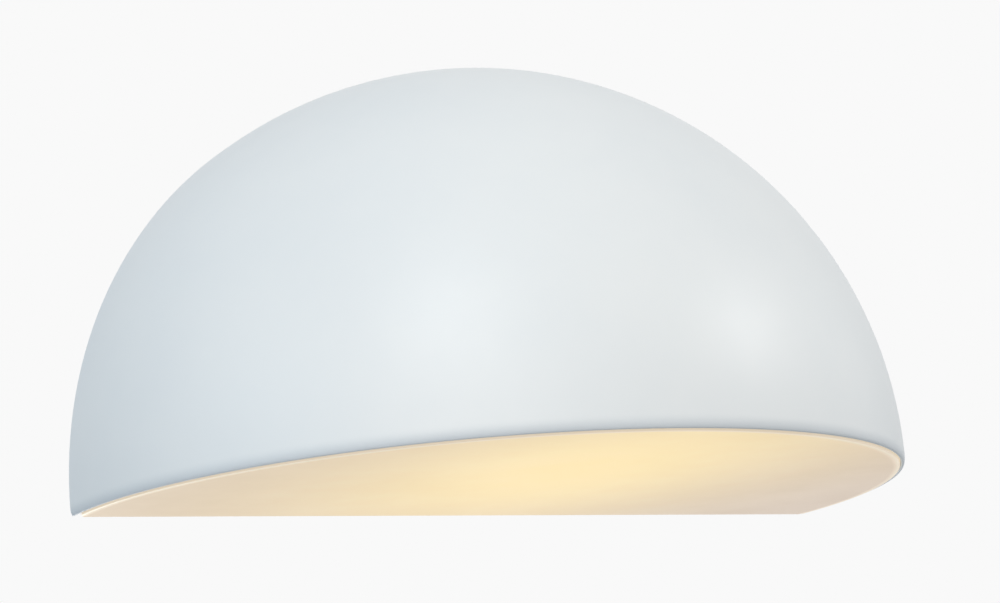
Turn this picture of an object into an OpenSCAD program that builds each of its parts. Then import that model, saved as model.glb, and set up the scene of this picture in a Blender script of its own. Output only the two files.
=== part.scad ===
// Half-dome wall light. A pressed steel shade opens downwards over an opal
// diffuser. It slides over the flange of a back plate, which carries the lamp
// holder, the terminal block and the inner wiring.
// X runs to the right, Y into the wall and Z up. The wall is the plane y = 0,
// and the origin is midway between the two fixing slots of the back plate.

/* [Shade] */
// Radius of the dome, half of the overall width
dome_r = 145; // [140:1:160]
// Depth of the straight band between the wall and the dome
band_d = 7; // [6.5:0.5:12]
// Height of the straight skirt under the dome
skirt_h = 6; // [5:0.5:9]
// Thickness of the pressed steel
shade_t = 0.9; // [0.8:0.1:1.2]
// Diameter of the rolled hem round the opening
hem_d = 1.8; // [1.6:0.1:2.4]
// Height of the wall fixings above the opening
fixing_h = 75; // [74:1:76]

/* [Diffuser] */
// Thickness of the moulded opal sheet
sheet_t = 2; // [1.5:0.1:2.5]
// How far the diffuser's face stands out of the opening
sheet_proud = 0.5; // [0:0.1:0.8]
// Play between the diffuser and the hem round it
sheet_play = 0.2; // [0.2:0.1:0.4]
// Height of the stiffening rib along the wall side
rib_h = 6; // [3:0.5:7]
// Number of clips that hold the diffuser down
clip_count = 5; // [3:1:7]

/* [Back plate] */
// Thickness of the plate
plate_t = 1; // [0.8:0.1:1.2]
// Play between the plate's flange and the inside of the shade
plate_play = 0.6; // [0.5:0.1:0.9]
// Depth of the flange that the shade slides over
flange_d = 11; // [11:0.5:14]
// Width of the raised panel
panel_w = 124; // [124:1:132]
// Depth of the hollow behind the raised panel
panel_d = 4; // [4:0.5:5]
// Distance between the centres of the fixing slots
fixing_pitch = 150; // [150:1:160]
// Width of a fixing slot
fixing_slot_w = 5.5; // [4.5:0.5:6]
// Overall length of a fixing slot
fixing_slot_l = 12; // [9:1:14]
// Bore of the cable grommet
cable_d = 8; // [6:0.5:9]

/* [Lamp holder] */
// Height of the lamp's axis above the opening
lamp_h = 57; // [56:1:58]
// Distance from the wall to the seat of the holder
seat_d = 12; // [12:0.5:14]
// Length of the porcelain body
holder_l = 38; // [36:1:40]
// Radius of the holder's base
base_r = 26; // [25.5:0.5:27]
// Height of the holder's base
base_h = 11; // [10.5:0.5:12]
// Radius of the holder's barrel
barrel_r = 19.5; // [18.5:0.1:19.5]

/* [Lamp] */
// Radius of the lamp cap over its thread
cap_r = 13.1; // [12.9:0.05:13.15]
// Length of the cap with its contact
cap_l = 27; // [26:0.5:28]
// Radius of the glass globe
globe_r = 22.5; // [22:0.5:23.5]
// Overall length of the lamp
lamp_l = 72; // [70:1:74]

/* [Terminal block] */
// Distance between the poles
pole_pitch = 9; // [8.5:0.5:9.5]
// Outer diameter of the insulated inner wires
wire_d = 2.4; // [2:0.1:2.6]
// Diameter of the bare conductors
core_d = 1.1; // [0.9:0.1:1.3]

/* [Hidden] */
$fn = 96;

// Overlap of a cutting shape past the face that it cuts
cut = 1;

// Fasteners: play of a plain hole round its screw, M3 and M4 nuts, wire screws
hole_play = 0.3;
m3_nut_af = 5.5;
m3_nut_h = 2.4;
m4_d = 4;
m4_nut_af = 7;
m4_nut_h = 3.2;
m4_head_d = 7;
m4_head_h = 2.4;
wire_screw_d = 2.5;
wire_screw_head_h = 1.8;
wire_bore_d = 2.2;

// Shade: inner radius, and the rear-open slot for the locking screw
shade_in_r = dome_r - shade_t;
lock_y = 6;
lock_slot_w = 4.6;
lock_slot_h = 4;

// Diffuser: radii of the face and of the flange that stands on the hem
face_r = dome_r - hem_d - sheet_play;
flange_play = 0.3;
flange_r = shade_in_r - flange_play;
flange_w = 5;
flange_t = 1.6;
sheet_back_y = plate_t + hole_play;
sheet_top = sheet_t - sheet_proud;
rib_t = 2;
rib_end_gap = 6;
diffuser_top = hem_d + flange_t;

// Clips: upright leg against the shade, foot on the diffuser's flange
clip_t = 0.8;
clip_w = 10;
clip_foot = 6;
clip_h = 14;
clip_play = 0.9;
clip_back_r = shade_in_r - clip_play;
clip_first_angle = 20;
stud_d = 3;
stud_h = 13;
stud_l = 7;
stud_gap = 0.02;
stud_end_r = wall_inner_r(stud_h + stud_d / 2) - stud_gap;

// Back plate: outline, raised panel and flange
plate_r = shade_in_r - plate_play;
plate_bottom = 1;
hem_gap = 0.8;
flange_bottom = 7;
panel_h = 110;
panel_corner = 8;
panel_top = 48;
panel_face = panel_d + plate_t;
panel_bottom = panel_top - panel_h;

// Locking screw at the top of the shade, M4
lock_thread_d = 3.9;
lock_washer_d = 9;
lock_washer_t = 0.8;
lock_head_d = 9;
lock_head_h = 3.2;
lock_bevel = 0.6;
lock_reach = 8;
knurl_count = 20;
knurl_d = 0.8;
knurl_low = 0.5;
coin_slot_w = 1.2;
coin_slot_depth = 1.2;
shade_top = skirt_h + dome_r;
nut_gap = 0.1;
nut_top = skirt_h + plate_r - plate_t - nut_gap;

// Cable grommet in the raised panel
grommet_x = 16;
grommet_z = 34;
grommet_hole_d = 14;
grommet_rim_d = 18;
grommet_l = 6;
grommet_edge = 1;
grommet_bevel = 1.5;

// Holder bracket: a hat section riveted to the raised panel
lamp_z = lamp_h - fixing_h;
bracket_t = 1.5;
bracket_w = 44;
bracket_leg = 28;
bracket_foot = 12;
rivet_d = 3.2;
rivet_head_d = 6.4;
rivet_head_h = 1.2;
rivet_tail_d = 4.6;
rivet_tail_h = 2.2;
rivet_x = 15;
rivet_y = bracket_leg + bracket_foot / 2;

// Holder: mouth, cavity, shell, fixing screws and side terminals
mouth_lip = 1;
mouth_h = 6;
mouth_bevel = 1.5;
base_bevel = 2;
holder_floor = 8;
cavity_r = 14.9;
fixing_screw_y = 9;
fixing_hole_d = 4.5;
fixing_head_d = 6.4;
fixing_head_h = 2.2;
fixing_tail = 4;
terminal_x = 17.3;
terminal_l = 8;
terminal_w = 8;
terminal_h = 7;
terminal_base = 1.6;
terminal_bore_h = 5;
terminal_screw_x = 22.2;
terminal_head_d = 4.4;
screw_to_core = 0.1;
contact_h = 4;
contact_t = 0.5;
contact_w = 7;

// Screw thread of the lamp cap and the holder shell
thread_p = 3.62;
thread_depth = 0.8;
shell_r = cap_r + 0.2;
shell_t = 0.35;
shell_end_gap = 1;
tip_gap = 0.1;
tip_d = seat_d + holder_floor + contact_h + tip_gap;

// Lamp: heights are measured from the tip of the centre contact
contact_r = 4.4;
contact_top = 1;
insulator_r = 11.4;
insulator_top = 4.6;
thread_start = 5.4;
thread_end = thread_start + 4.5 * thread_p;
cap_t = 0.4;
collar_r = cap_r + 0.1;
glass_t = 0.8;
globe_h = lamp_l - globe_r;
neck_r = 12.5;
neck_top = cap_l + 7.5;
stem_top = 40;
post_top = 63;
filament_low = [6.5, 39];
filament_high = [3.2, 62];
filament_d = 1.8;
lead_d = 0.6;
post_d = 1;
lead_foot_r = 2;
board = [14, 1.2, 13];
board_low = 7;
capacitor_d = 5;
chip = [4, 2, 3];

// Terminal block on the raised panel
block_x = -42;
block_z = 32;
block_l = 17;
block_base_h = 4;
block_h = 13;
ear_l = 6;
hump_r = 4.1;
hump_w = 7.4;
tube_h = 6.5;
tube_d = 5.4;
tube_bore = 3.2;
tube_l = 15;
block_screw_z = 4;
block_screw_d = 3;
block_head_d = 5;
well_d = 4;
pole_head_d = 3.6;
pole_head_h = 9.8;
poles = [-pole_pitch, 0, pole_pitch];
block_w = 2 * pole_pitch + 2 * hump_r + 2 * ear_l;
block_ear_x = (block_w - ear_l) / 2;
pole_y = -(panel_face + tube_h);
pole_mouth = block_z - block_l / 2 - 0.5;
pole_core_l = 12;

// Earth point on the raised panel
earth_x = -50;
earth_z = -26;
earth_washer_d = 7.6;
earth_washer_t = 0.6;
earth_ring_d = 8;
earth_neck_w = 3.4;
earth_tag_t = 0.8;
earth_barrel_d = 4;
earth_barrel_h = panel_face + earth_washer_t + earth_barrel_d / 2;
earth_barrel_low = 5;
earth_barrel_l = 6;
earth_core_l = 5.5;
earth_end_z = earth_z + earth_barrel_low + earth_barrel_l + 0.3;

// Routes of the inner wires, with round numbers between their two ends
holder_wire_y = -(seat_d + terminal_bore_h);
holder_wire_x = terminal_x + terminal_l + 1.5;
live_route = [
    [block_x, pole_y, pole_mouth], [-42, -11.6, 12], lamp_side(-43, -12.5, 18),
    lamp_side(-41, -14.5, 7), lamp_side(-35, -16.6, 1), lamp_side(-holder_wire_x, holder_wire_y, 0)
];
neutral_route = [
    [block_x + pole_pitch, pole_y, pole_mouth], [-32, -11.5, 18], lamp_side(-26, -11.6, 33.5),
    lamp_side(-14, -11.8, 33), lamp_side(2, -12, 33), lamp_side(18, -12.2, 31.5),
    lamp_side(31, -13, 23), lamp_side(38, -14.5, 12), lamp_side(37, -16.4, 3),
    lamp_side(33, -17, 0), lamp_side(holder_wire_x, holder_wire_y, 0)
];
earth_route = [
    [block_x - pole_pitch, pole_y, pole_mouth], [-51.5, -11.5, 12], [-53.5, -11, 0],
    [-51, -8.2, -9.5], [earth_x, -earth_barrel_h, earth_end_z + 2],
    [earth_x, -earth_barrel_h, earth_end_z]
];
wire_steps = 5;
wire_sides = 8;
core_gap = 0.15;

// --- Places -----------------------------------------------------------------

// Heights measured from the plane of the opening
module above_rim() {
    translate([0, 0, -fixing_h]) children();
}

// Drawn flat on the wall: local Y is up, local Z points out into the room
module on_wall(x, z, distance) {
    translate([x, -distance, z]) rotate([90, 0, 0]) children();
}

module on_lamp_axis(distance) {
    on_wall(0, lamp_z, distance) children();
}

// One copy at each clip, with local Y pointing out through the shade
module at_clips() {
    step = (180 - 2 * clip_first_angle) / (clip_count - 1);
    above_rim() translate([0, -band_d, 0])
        for (i = [0 : clip_count - 1])
            rotate([0, 0, 90 + clip_first_angle + i * step]) children();
}

module both_sides() {
    children();
    mirror([1, 0, 0]) children();
}

// --- Shared shapes ----------------------------------------------------------

// Right half of the arch seen from the front, from the opening up
module half_arch(r) {
    translate([0, skirt_h]) intersection() {
        circle(r);
        square(2 * r);
    }
    square([r, skirt_h]);
}

module arch(r) {
    both_sides() half_arch(r);
}

// Half-moon seen from above, with its straight side towards the wall
module half_moon(r, back) {
    difference() {
        translate([0, -band_d]) circle(r);
        translate([-2 * r, -band_d]) square([4 * r, 2 * r]);
    }
    translate([-r, -band_d]) square([2 * r, band_d - back]);
}

// A slot with round ends, along X
module slot_shape(length, width) {
    square([length - width, width], center = true);
    both_sides() translate([(length - width) / 2, 0]) circle(d = width);
}

module cornered_rectangle(w, h, corner) {
    square([w - 2 * corner, h], center = true);
    square([w, h - 2 * corner], center = true);
    for (x = [-1, 1], y = [-1, 1])
        translate([x * (w / 2 - corner), y * (h / 2 - corner)]) circle(corner);
}

// Pan-head screw: the head stands on z = 0 and the shank runs down
module pan_screw(head_d, head_h, shank_d, shank_l) {
    side_h = 0.6 * head_h;
    top_d = 0.7 * head_d;
    recess = [0.55 * head_d, head_d / 6, head_h];
    difference() {
        union() {
            cylinder(d = head_d, h = side_h);
            translate([0, 0, side_h]) cylinder(d1 = head_d, d2 = top_d, h = head_h - side_h);
        }
        for (a = [0, 90])
            rotate([0, 0, a]) translate([0, 0, head_h]) cube(recess, center = true);
    }
    translate([0, 0, -shank_l]) cylinder(d = shank_d, h = shank_l);
}

module hex_nut(af, h, bore) {
    difference() {
        cylinder(d = af / cos(30), h = h, $fn = 6);
        translate([0, 0, -cut]) cylinder(d = bore, h = h + 2 * cut);
    }
}

// Straight round rod from a to b, both given as [x, height]
module leaning_rod(a, b, d) {
    run = b - a;
    translate([a[0], 0, a[1]]) rotate([0, atan2(run[0], run[1]), 0])
        cylinder(d = d, h = norm(run));
}

// Side of a rolled screw thread as [radius, height], crest radius r
function thread_side(r, low, high) =
    let (steps = round((high - low) / thread_p * 6))
    [for (i = [0 : steps])
        let (h = low + (high - low) * i / steps)
        [r - thread_depth / 2 * (1 - cos(360 * (h - low) / thread_p)), h]];

// Inner radius of the shade at a height above the opening
function wall_inner_r(h) = sqrt(pow(shade_in_r, 2) - pow(max(h - skirt_h, 0), 2));

function reversed(list) = [for (i = [len(list) - 1 : -1 : 0]) list[i]];

// Point of a wire's route at a height above the lamp's axis
function lamp_side(x, y, h) = [x, y, lamp_z + h];

// Smooth curve through the route's points
function curve_point(a, b, c, d, t) =
    0.5 * (2 * b + (c - a) * t + (2 * a - 5 * b + 4 * c - d) * t * t
        + (3 * b - a - 3 * c + d) * t * t * t);
function smooth_route(p) =
    let (last = len(p) - 1)
    concat(
        [for (i = [0 : last - 1], s = [0 : wire_steps - 1])
            curve_point(p[max(i - 1, 0)], p[i], p[i + 1], p[min(i + 2, last)], s / wire_steps)],
        [p[last]]);
function unit(v) = v / norm(v);
function heading(p, i) = unit(p[min(i + 1, len(p) - 1)] - p[max(i - 1, 0)]);

// Side direction of each ring, carried along the curve without twist
function sides_along(p, i, side) =
    let (t = heading(p, i), flat = unit(side - (side * t) * t))
    i == len(p) - 1 ? [flat] : concat([flat], sides_along(p, i + 1, flat));

// Round wire along a route
module wire(route) {
    path = smooth_route(route);
    side = sides_along(path, 0, [0, -1, 0.2]);
    rings = len(path);
    points = [for (i = [0 : rings - 1], k = [0 : wire_sides - 1])
        let (a = 360 * k / wire_sides, other = cross(heading(path, i), side[i]))
        path[i] + wire_d / 2 * (cos(a) * side[i] + sin(a) * other)];
    walls = [for (i = [0 : rings - 2], k = [0 : wire_sides - 1])
        let (n = (k + 1) % wire_sides, low = i * wire_sides, high = low + wire_sides)
        [low + k, high + k, high + n, low + n]];
    ends = [
        [for (k = [0 : wire_sides - 1]) k],
        [for (k = [wire_sides - 1 : -1 : 0]) (rings - 1) * wire_sides + k]
    ];
    polyhedron(points, concat(walls, ends), convexity = 6);
}

// --- Shade and diffuser -----------------------------------------------------

// Section of the pressed wall with its rolled hem, as radius and height
module shade_section() {
    difference() {
        half_arch(dome_r);
        half_arch(shade_in_r);
        square([dome_r + cut, hem_d / 2]);
    }
    translate([dome_r - hem_d / 2, hem_d / 2]) circle(d = hem_d);
}

module shade() {
    color("#E4EAEC") above_rim() difference() {
        union() {
            translate([0, -band_d, 0]) rotate([0, 0, 180]) rotate_extrude(angle = 180) shade_section();
            rotate([90, 0, 0]) linear_extrude(band_d) both_sides() shade_section();
        }
        translate([0, -lock_y, shade_top + cut - lock_slot_h]) linear_extrude(lock_slot_h) {
            circle(d = lock_slot_w);
            translate([-lock_slot_w / 2, 0]) square([lock_slot_w, lock_y + cut]);
        }
    }
}

// Moulded tray: its face fills the opening, a step stands on the hem, a rib is at the wall
module diffuser() {
    color("#FBE9C6") above_rim() {
        difference() {
            translate([0, 0, -sheet_proud]) linear_extrude(diffuser_top + sheet_proud)
                half_moon(face_r, sheet_back_y);
            translate([0, 0, sheet_top]) linear_extrude(diffuser_top)
                half_moon(flange_r - flange_w, -cut);
        }
        translate([0, 0, hem_d]) linear_extrude(flange_t) difference() {
            half_moon(flange_r, sheet_back_y);
            half_moon(face_r - cut, -cut);
        }
        translate([-(face_r - rib_end_gap), -sheet_back_y - rib_t, sheet_top])
            cube([2 * (face_r - rib_end_gap), rib_t, rib_h]);
    }
}

// Threaded studs welded to the inside of the shade
module clip_studs() {
    color("#B9B7AE") at_clips()
        translate([0, stud_end_r - stud_l, stud_h]) rotate([-90, 0, 0])
            cylinder(d = stud_d, h = stud_l);
}

module diffuser_clips() {
    color("#C9CCCD") at_clips() difference() {
        union() {
            translate([-clip_w / 2, clip_back_r - clip_t, diffuser_top])
                cube([clip_w, clip_t, clip_h]);
            translate([-clip_w / 2, clip_back_r - clip_foot, diffuser_top])
                cube([clip_w, clip_foot, clip_t]);
        }
        translate([0, clip_back_r - clip_foot, stud_h]) rotate([-90, 0, 0])
            cylinder(d = stud_d + hole_play, h = clip_foot + cut);
    }
}

module clip_nuts() {
    color("#BFC1BE") at_clips()
        translate([0, clip_back_r - clip_t, stud_h]) rotate([90, 0, 0])
            hex_nut(m3_nut_af, m3_nut_h, stud_d);
}

// --- Back plate and locking screw -------------------------------------------

module panel_shape(inset) {
    translate([0, (panel_top + panel_bottom) / 2])
        cornered_rectangle(panel_w - 2 * inset, panel_h - 2 * inset, panel_corner - inset);
}

// Half-moon pan: flat rim on the wall, raised panel, forward flange round the arch
module back_plate() {
    through = panel_face + 2 * cut;
    color("#DDE1E2") difference() {
        union() {
            on_wall(0, -fixing_h, 0) {
                linear_extrude(plate_t) difference() {
                    arch(plate_r);
                    translate([-2 * plate_r, 0]) square([4 * plate_r, plate_bottom]);
                    both_sides() translate([face_r - hem_gap, 0]) square([plate_r, hem_d + hem_gap]);
                }
                linear_extrude(flange_d) difference() {
                    arch(plate_r);
                    arch(plate_r - plate_t);
                    translate([-2 * plate_r, 0]) square([4 * plate_r, flange_bottom]);
                }
            }
            on_wall(0, 0, 0) linear_extrude(panel_face) panel_shape(0);
        }
        on_wall(0, 0, -cut) linear_extrude(panel_d + cut) panel_shape(plate_t);
        on_wall(0, 0, -cut) {
            both_sides() linear_extrude(panel_face) translate([fixing_pitch / 2, 0])
                slot_shape(fixing_slot_l, fixing_slot_w);
            translate([grommet_x, grommet_z, 0]) cylinder(d = grommet_hole_d, h = through);
            translate([earth_x, earth_z, 0]) cylinder(d = m4_d, h = through);
            both_sides() for (y = [-rivet_y, rivet_y])
                translate([rivet_x, lamp_z + y, 0]) cylinder(d = rivet_d, h = through);
            for (x = [-block_ear_x, block_ear_x])
                translate([block_x + x, block_z, 0]) cylinder(d = block_screw_d, h = through);
        }
        translate([0, -lock_y, nut_top - fixing_h - cut])
            cylinder(d = lock_slot_w, h = plate_t + 2 * cut);
    }
}

module cable_grommet() {
    rim_r = grommet_rim_d / 2;
    groove_r = grommet_hole_d / 2;
    half = grommet_l / 2;
    groove = plate_t / 2;
    color("#3A3B3D") on_wall(grommet_x, grommet_z, panel_d + groove) rotate_extrude() polygon([
        [cable_d / 2, -half], [rim_r - grommet_edge, -half], [rim_r, grommet_edge - half],
        [rim_r, -groove], [groove_r, -groove], [groove_r, groove], [rim_r, groove],
        [rim_r, half - grommet_bevel], [rim_r - grommet_bevel, half], [cable_d / 2, half]
    ]);
}

// Weld nut under the top of the flange
module lock_nut() {
    color("#C2B27A") translate([0, -lock_y, nut_top - m4_nut_h - fixing_h])
        hex_nut(m4_nut_af, m4_nut_h, m4_d);
}

module lock_washer() {
    color("#C4C6C8") translate([0, -lock_y, shade_top - fixing_h]) difference() {
        cylinder(d = lock_washer_d, h = lock_washer_t);
        translate([0, 0, -cut]) cylinder(d = m4_d, h = lock_washer_t + 2 * cut);
    }
}

// Knurled screw with a coin slot
module lock_screw() {
    side_h = lock_head_h - lock_bevel;
    top_d = lock_head_d - 2 * lock_bevel;
    knurl_r = lock_head_d / 2 + 0.2 * knurl_d;
    coin_slot = [lock_head_d + cut, coin_slot_w, 2 * coin_slot_depth];
    color("#D0D2D3") translate([0, -lock_y, shade_top + lock_washer_t - fixing_h]) {
        difference() {
            union() {
                cylinder(d = lock_head_d, h = side_h);
                translate([0, 0, side_h]) cylinder(d1 = lock_head_d, d2 = top_d, h = lock_bevel);
            }
            for (i = [0 : knurl_count - 1])
                rotate([0, 0, i * 360 / knurl_count]) translate([knurl_r, 0, knurl_low])
                    cylinder(d = knurl_d, h = lock_head_h);
            translate([0, 0, lock_head_h]) cube(coin_slot, center = true);
        }
        translate([0, 0, -lock_reach]) cylinder(d = lock_thread_d, h = lock_reach);
    }
}

// --- Lamp holder ------------------------------------------------------------

// Hat section: feet on the raised panel, seat in front of the screw ends
module holder_bracket() {
    leg = bracket_leg;
    toe = bracket_leg + bracket_foot;
    base = panel_face;
    color("#C8CBCC") on_wall(0, lamp_z, 0) difference() {
        rotate([90, 0, 90]) linear_extrude(bracket_w, center = true) polygon([
            [-toe, base], [bracket_t - leg, base], [bracket_t - leg, seat_d - bracket_t],
            [leg - bracket_t, seat_d - bracket_t], [leg - bracket_t, base], [toe, base],
            [toe, base + bracket_t], [leg, base + bracket_t], [leg, seat_d],
            [-leg, seat_d], [-leg, base + bracket_t], [-toe, base + bracket_t]
        ]);
        for (y = [-fixing_screw_y, fixing_screw_y])
            translate([0, y, 0]) cylinder(d = fixing_hole_d, h = seat_d + cut);
        both_sides() for (y = [-rivet_y, rivet_y])
            translate([rivet_x, y, 0]) cylinder(d = rivet_d, h = seat_d);
    }
}

module bracket_rivets() {
    grip = bracket_t + plate_t;
    color("#C3C6C8") on_wall(0, lamp_z, panel_face + bracket_t) both_sides()
        for (y = [-rivet_y, rivet_y]) translate([rivet_x, y, 0]) {
            cylinder(d1 = rivet_head_d, d2 = rivet_head_d * 0.7, h = rivet_head_h);
            translate([0, 0, -grip]) cylinder(d = rivet_d, h = grip);
            translate([0, 0, -grip - rivet_tail_h])
                cylinder(d1 = rivet_tail_d * 0.8, d2 = rivet_tail_d, h = rivet_tail_h);
        }
}

// Porcelain body: wide base with two side pockets, barrel with a rolled mouth
module holder_body() {
    pocket_w = terminal_w + 2 * hole_play;
    color("#F3F0E8") on_lamp_axis(seat_d) difference() {
        rotate_extrude() polygon([
            [0, 0], [base_r, 0], [base_r, base_h - base_bevel], [base_r - base_bevel, base_h],
            [barrel_r, base_h], [barrel_r, holder_l - mouth_h],
            [barrel_r + mouth_lip, holder_l - mouth_h + mouth_lip],
            [barrel_r + mouth_lip, holder_l - mouth_bevel],
            [barrel_r + mouth_lip - mouth_bevel, holder_l], [0, holder_l]
        ]);
        translate([0, 0, holder_floor]) cylinder(r = cavity_r, h = holder_l);
        for (y = [-fixing_screw_y, fixing_screw_y])
            translate([0, y, -cut]) cylinder(d = fixing_hole_d, h = holder_floor + 2 * cut);
        both_sides() translate([terminal_x, -pocket_w / 2, terminal_base])
            cube([base_r, pocket_w, base_h]);
    }
}

module holder_fixing_screws() {
    shank = holder_floor + bracket_t + fixing_tail;
    color("#C9CBCC") on_lamp_axis(seat_d + holder_floor)
        for (y = [-fixing_screw_y, fixing_screw_y])
            translate([0, y, 0]) pan_screw(fixing_head_d, fixing_head_h, m4_d, shank);
}

module holder_fixing_nuts() {
    color("#C0C2C0") on_lamp_axis(seat_d - bracket_t - m4_nut_h)
        for (y = [-fixing_screw_y, fixing_screw_y])
            translate([0, y, 0]) hex_nut(m4_nut_af, m4_nut_h, m4_d);
}

// Brass shell pressed with the lamp thread
module holder_shell() {
    low = contact_h + shell_end_gap;
    high = holder_l - holder_floor - 2 * shell_end_gap;
    inner = thread_side(shell_r + thread_depth, low, high);
    outer = [for (p = inner) p + [shell_t, 0]];
    color("#CDA75A") on_lamp_axis(seat_d + holder_floor) rotate_extrude()
        polygon(concat(outer, reversed(inner)));
}

// Sprung brass strip that rises from the floor to the lamp's tip
module holder_contact() {
    rise = contact_h - contact_t;
    color("#D2AC5E") on_lamp_axis(seat_d + holder_floor) rotate([90, 0, 0])
        linear_extrude(contact_w, center = true) polygon([
            [-11, 0], [-6, 0], [-2.5, rise], [4, rise],
            [4, contact_h], [-2.8, contact_h], [-6.3, contact_t], [-11, contact_t]
        ]);
}

// Brass blocks in the side pockets, bored for the wire and for the screw
module holder_terminals() {
    color("#CBA558") on_lamp_axis(seat_d) both_sides() difference() {
        translate([terminal_x, -terminal_w / 2, terminal_base])
            cube([terminal_l, terminal_w, terminal_h]);
        translate([terminal_x + cut, 0, terminal_bore_h]) rotate([0, 90, 0])
            cylinder(d = wire_bore_d, h = terminal_l);
        translate([terminal_screw_x, 0, terminal_bore_h])
            cylinder(d = wire_screw_d, h = terminal_h);
    }
}

module holder_terminal_screws() {
    top = terminal_base + terminal_h;
    shank = top - terminal_bore_h - core_d / 2 - screw_to_core;
    color("#D8C07A") on_lamp_axis(seat_d + top) both_sides() translate([terminal_screw_x, 0, 0])
        pan_screw(terminal_head_d, wire_screw_head_h, wire_screw_d, shank);
}

// --- Terminal block, earth point and wiring ---------------------------------

module on_block() {
    on_wall(block_x, block_z, panel_face) children();
}

module terminal_block() {
    color("#EDEBE2") on_block() difference() {
        union() {
            translate([-block_w / 2, -block_l / 2, 0]) cube([block_w, block_l, block_base_h]);
            for (x = poles) translate([x, 0, 0]) {
                translate([0, block_l / 2, tube_h]) rotate([90, 0, 0])
                    cylinder(r = hump_r, h = block_l);
                translate([-hump_w / 2, -block_l / 2, cut]) cube([hump_w, block_l, block_h - cut]);
            }
        }
        for (x = poles) translate([x, 0, tube_h]) {
            translate([0, block_l, 0]) rotate([90, 0, 0]) cylinder(d = tube_d, h = 2 * block_l);
            for (y = [-block_screw_z, block_screw_z])
                translate([0, y, 0]) cylinder(d = well_d, h = block_h);
        }
        for (x = [-block_ear_x, block_ear_x])
            translate([x, 0, -cut]) cylinder(d = block_screw_d, h = block_h);
    }
}

module terminal_tubes() {
    color("#CFA95C") on_block() for (x = poles) translate([x, 0, tube_h]) difference() {
        translate([0, tube_l / 2, 0]) rotate([90, 0, 0]) cylinder(d = tube_d, h = tube_l);
        translate([0, block_l, 0]) rotate([90, 0, 0]) cylinder(d = tube_bore, h = 2 * block_l);
        for (y = [-block_screw_z, block_screw_z])
            translate([0, y, 0]) cylinder(d = wire_screw_d, h = tube_d);
    }
}

module terminal_screws() {
    shank = pole_head_h - tube_h - core_d / 2 - screw_to_core;
    color("#C7C9CA") on_block() for (x = poles, y = [-block_screw_z, block_screw_z])
        translate([x, y, pole_head_h])
            pan_screw(pole_head_d, wire_screw_head_h, wire_screw_d, shank);
}

module terminal_block_screws() {
    shank = block_base_h + plate_t + 2.5;
    color("#C9CBCC") on_block() for (x = [-block_ear_x, block_ear_x])
        translate([x, 0, block_base_h])
            pan_screw(block_head_d, wire_screw_head_h, block_screw_d, shank);
}

module earth_washer() {
    color("#B8BABB") on_wall(earth_x, earth_z, panel_face) difference() {
        cylinder(d = earth_washer_d, h = earth_washer_t);
        translate([0, 0, -cut]) cylinder(d = m4_d + hole_play, h = earth_washer_t + 2 * cut);
    }
}

// Ring terminal with its crimped barrel pointing up
module earth_tag() {
    color("#C6A765") on_wall(earth_x, earth_z, panel_face + earth_washer_t) difference() {
        union() {
            cylinder(d = earth_ring_d, h = earth_tag_t);
            translate([-earth_neck_w / 2, 0, 0])
                cube([earth_neck_w, earth_barrel_low + cut, earth_tag_t]);
            translate([0, earth_barrel_low, earth_barrel_d / 2]) rotate([-90, 0, 0])
                cylinder(d = earth_barrel_d, h = earth_barrel_l);
        }
        translate([0, 0, -cut]) cylinder(d = m4_d + hole_play, h = earth_tag_t + 2 * cut);
        translate([0, earth_barrel_low - cut, earth_barrel_d / 2]) rotate([-90, 0, 0])
            cylinder(d = wire_bore_d, h = earth_barrel_l + 2 * cut);
    }
}

module earth_screw() {
    stack = earth_washer_t + earth_tag_t;
    color("#C9CBCC") on_wall(earth_x, earth_z, panel_face + stack)
        pan_screw(m4_head_d, m4_head_h, m4_d, stack + plate_t + 2);
}

module live_wire() {
    color("#6B4226") wire(live_route);
}

module neutral_wire() {
    color("#2C63A8") wire(neutral_route);
}

module earth_wire() {
    color("#8CA832") wire(earth_route);
}

// Stripped conductors in the terminals
module bare_ends() {
    color("#C9773F") {
        for (x = poles) translate([block_x + x, pole_y, pole_mouth + core_gap])
            cylinder(d = core_d, h = pole_core_l);
        both_sides() translate([holder_wire_x - terminal_l, holder_wire_y, lamp_z])
            rotate([0, 90, 0]) cylinder(d = core_d, h = terminal_l - core_gap);
        translate([earth_x, -earth_barrel_h, earth_end_z - core_gap - earth_core_l])
            cylinder(d = core_d, h = earth_core_l);
    }
}

// --- Lamp -------------------------------------------------------------------

module lamp_contact() {
    color("#BFC0BE") on_lamp_axis(tip_d) cylinder(r1 = contact_r - 0.8, r2 = contact_r, h = contact_top);
}

module lamp_insulator() {
    color("#1E1F21") on_lamp_axis(tip_d + contact_top)
        cylinder(r1 = contact_r, r2 = insulator_r, h = insulator_top - contact_top);
}

// Rolled metal cap, closed towards the insulator and open to the glass
module lamp_cap() {
    outer = thread_side(cap_r, thread_start, thread_end);
    color("#C8CACB") on_lamp_axis(tip_d) rotate_extrude() polygon(concat(
        [[insulator_r - 2, insulator_top], [insulator_r, insulator_top]],
        outer,
        [[collar_r, thread_end + 0.8], [collar_r, cap_l]],
        [[collar_r - cap_t, cap_l], [collar_r - cap_t, thread_end + 1.2]],
        [for (p = reversed(outer)) p - [cap_t, 0]],
        [[insulator_r - 2, insulator_top + cap_t]]
    ));
}

// Small rectifier board inside the cap
module lamp_driver() {
    color("#3F7A4A") on_lamp_axis(tip_d) {
        translate([-board[0] / 2, -board[1] / 2, board_low]) cube(board);
        translate([-capacitor_d / 2, board[1] / 2, board_low + board[2] / 2])
            rotate([-90, 0, 0]) cylinder(d = capacitor_d, h = capacitor_d);
        translate([chip[0] / 2, -board[1] / 2 - chip[1], board_low + chip[1]]) cube(chip);
    }
}

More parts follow.
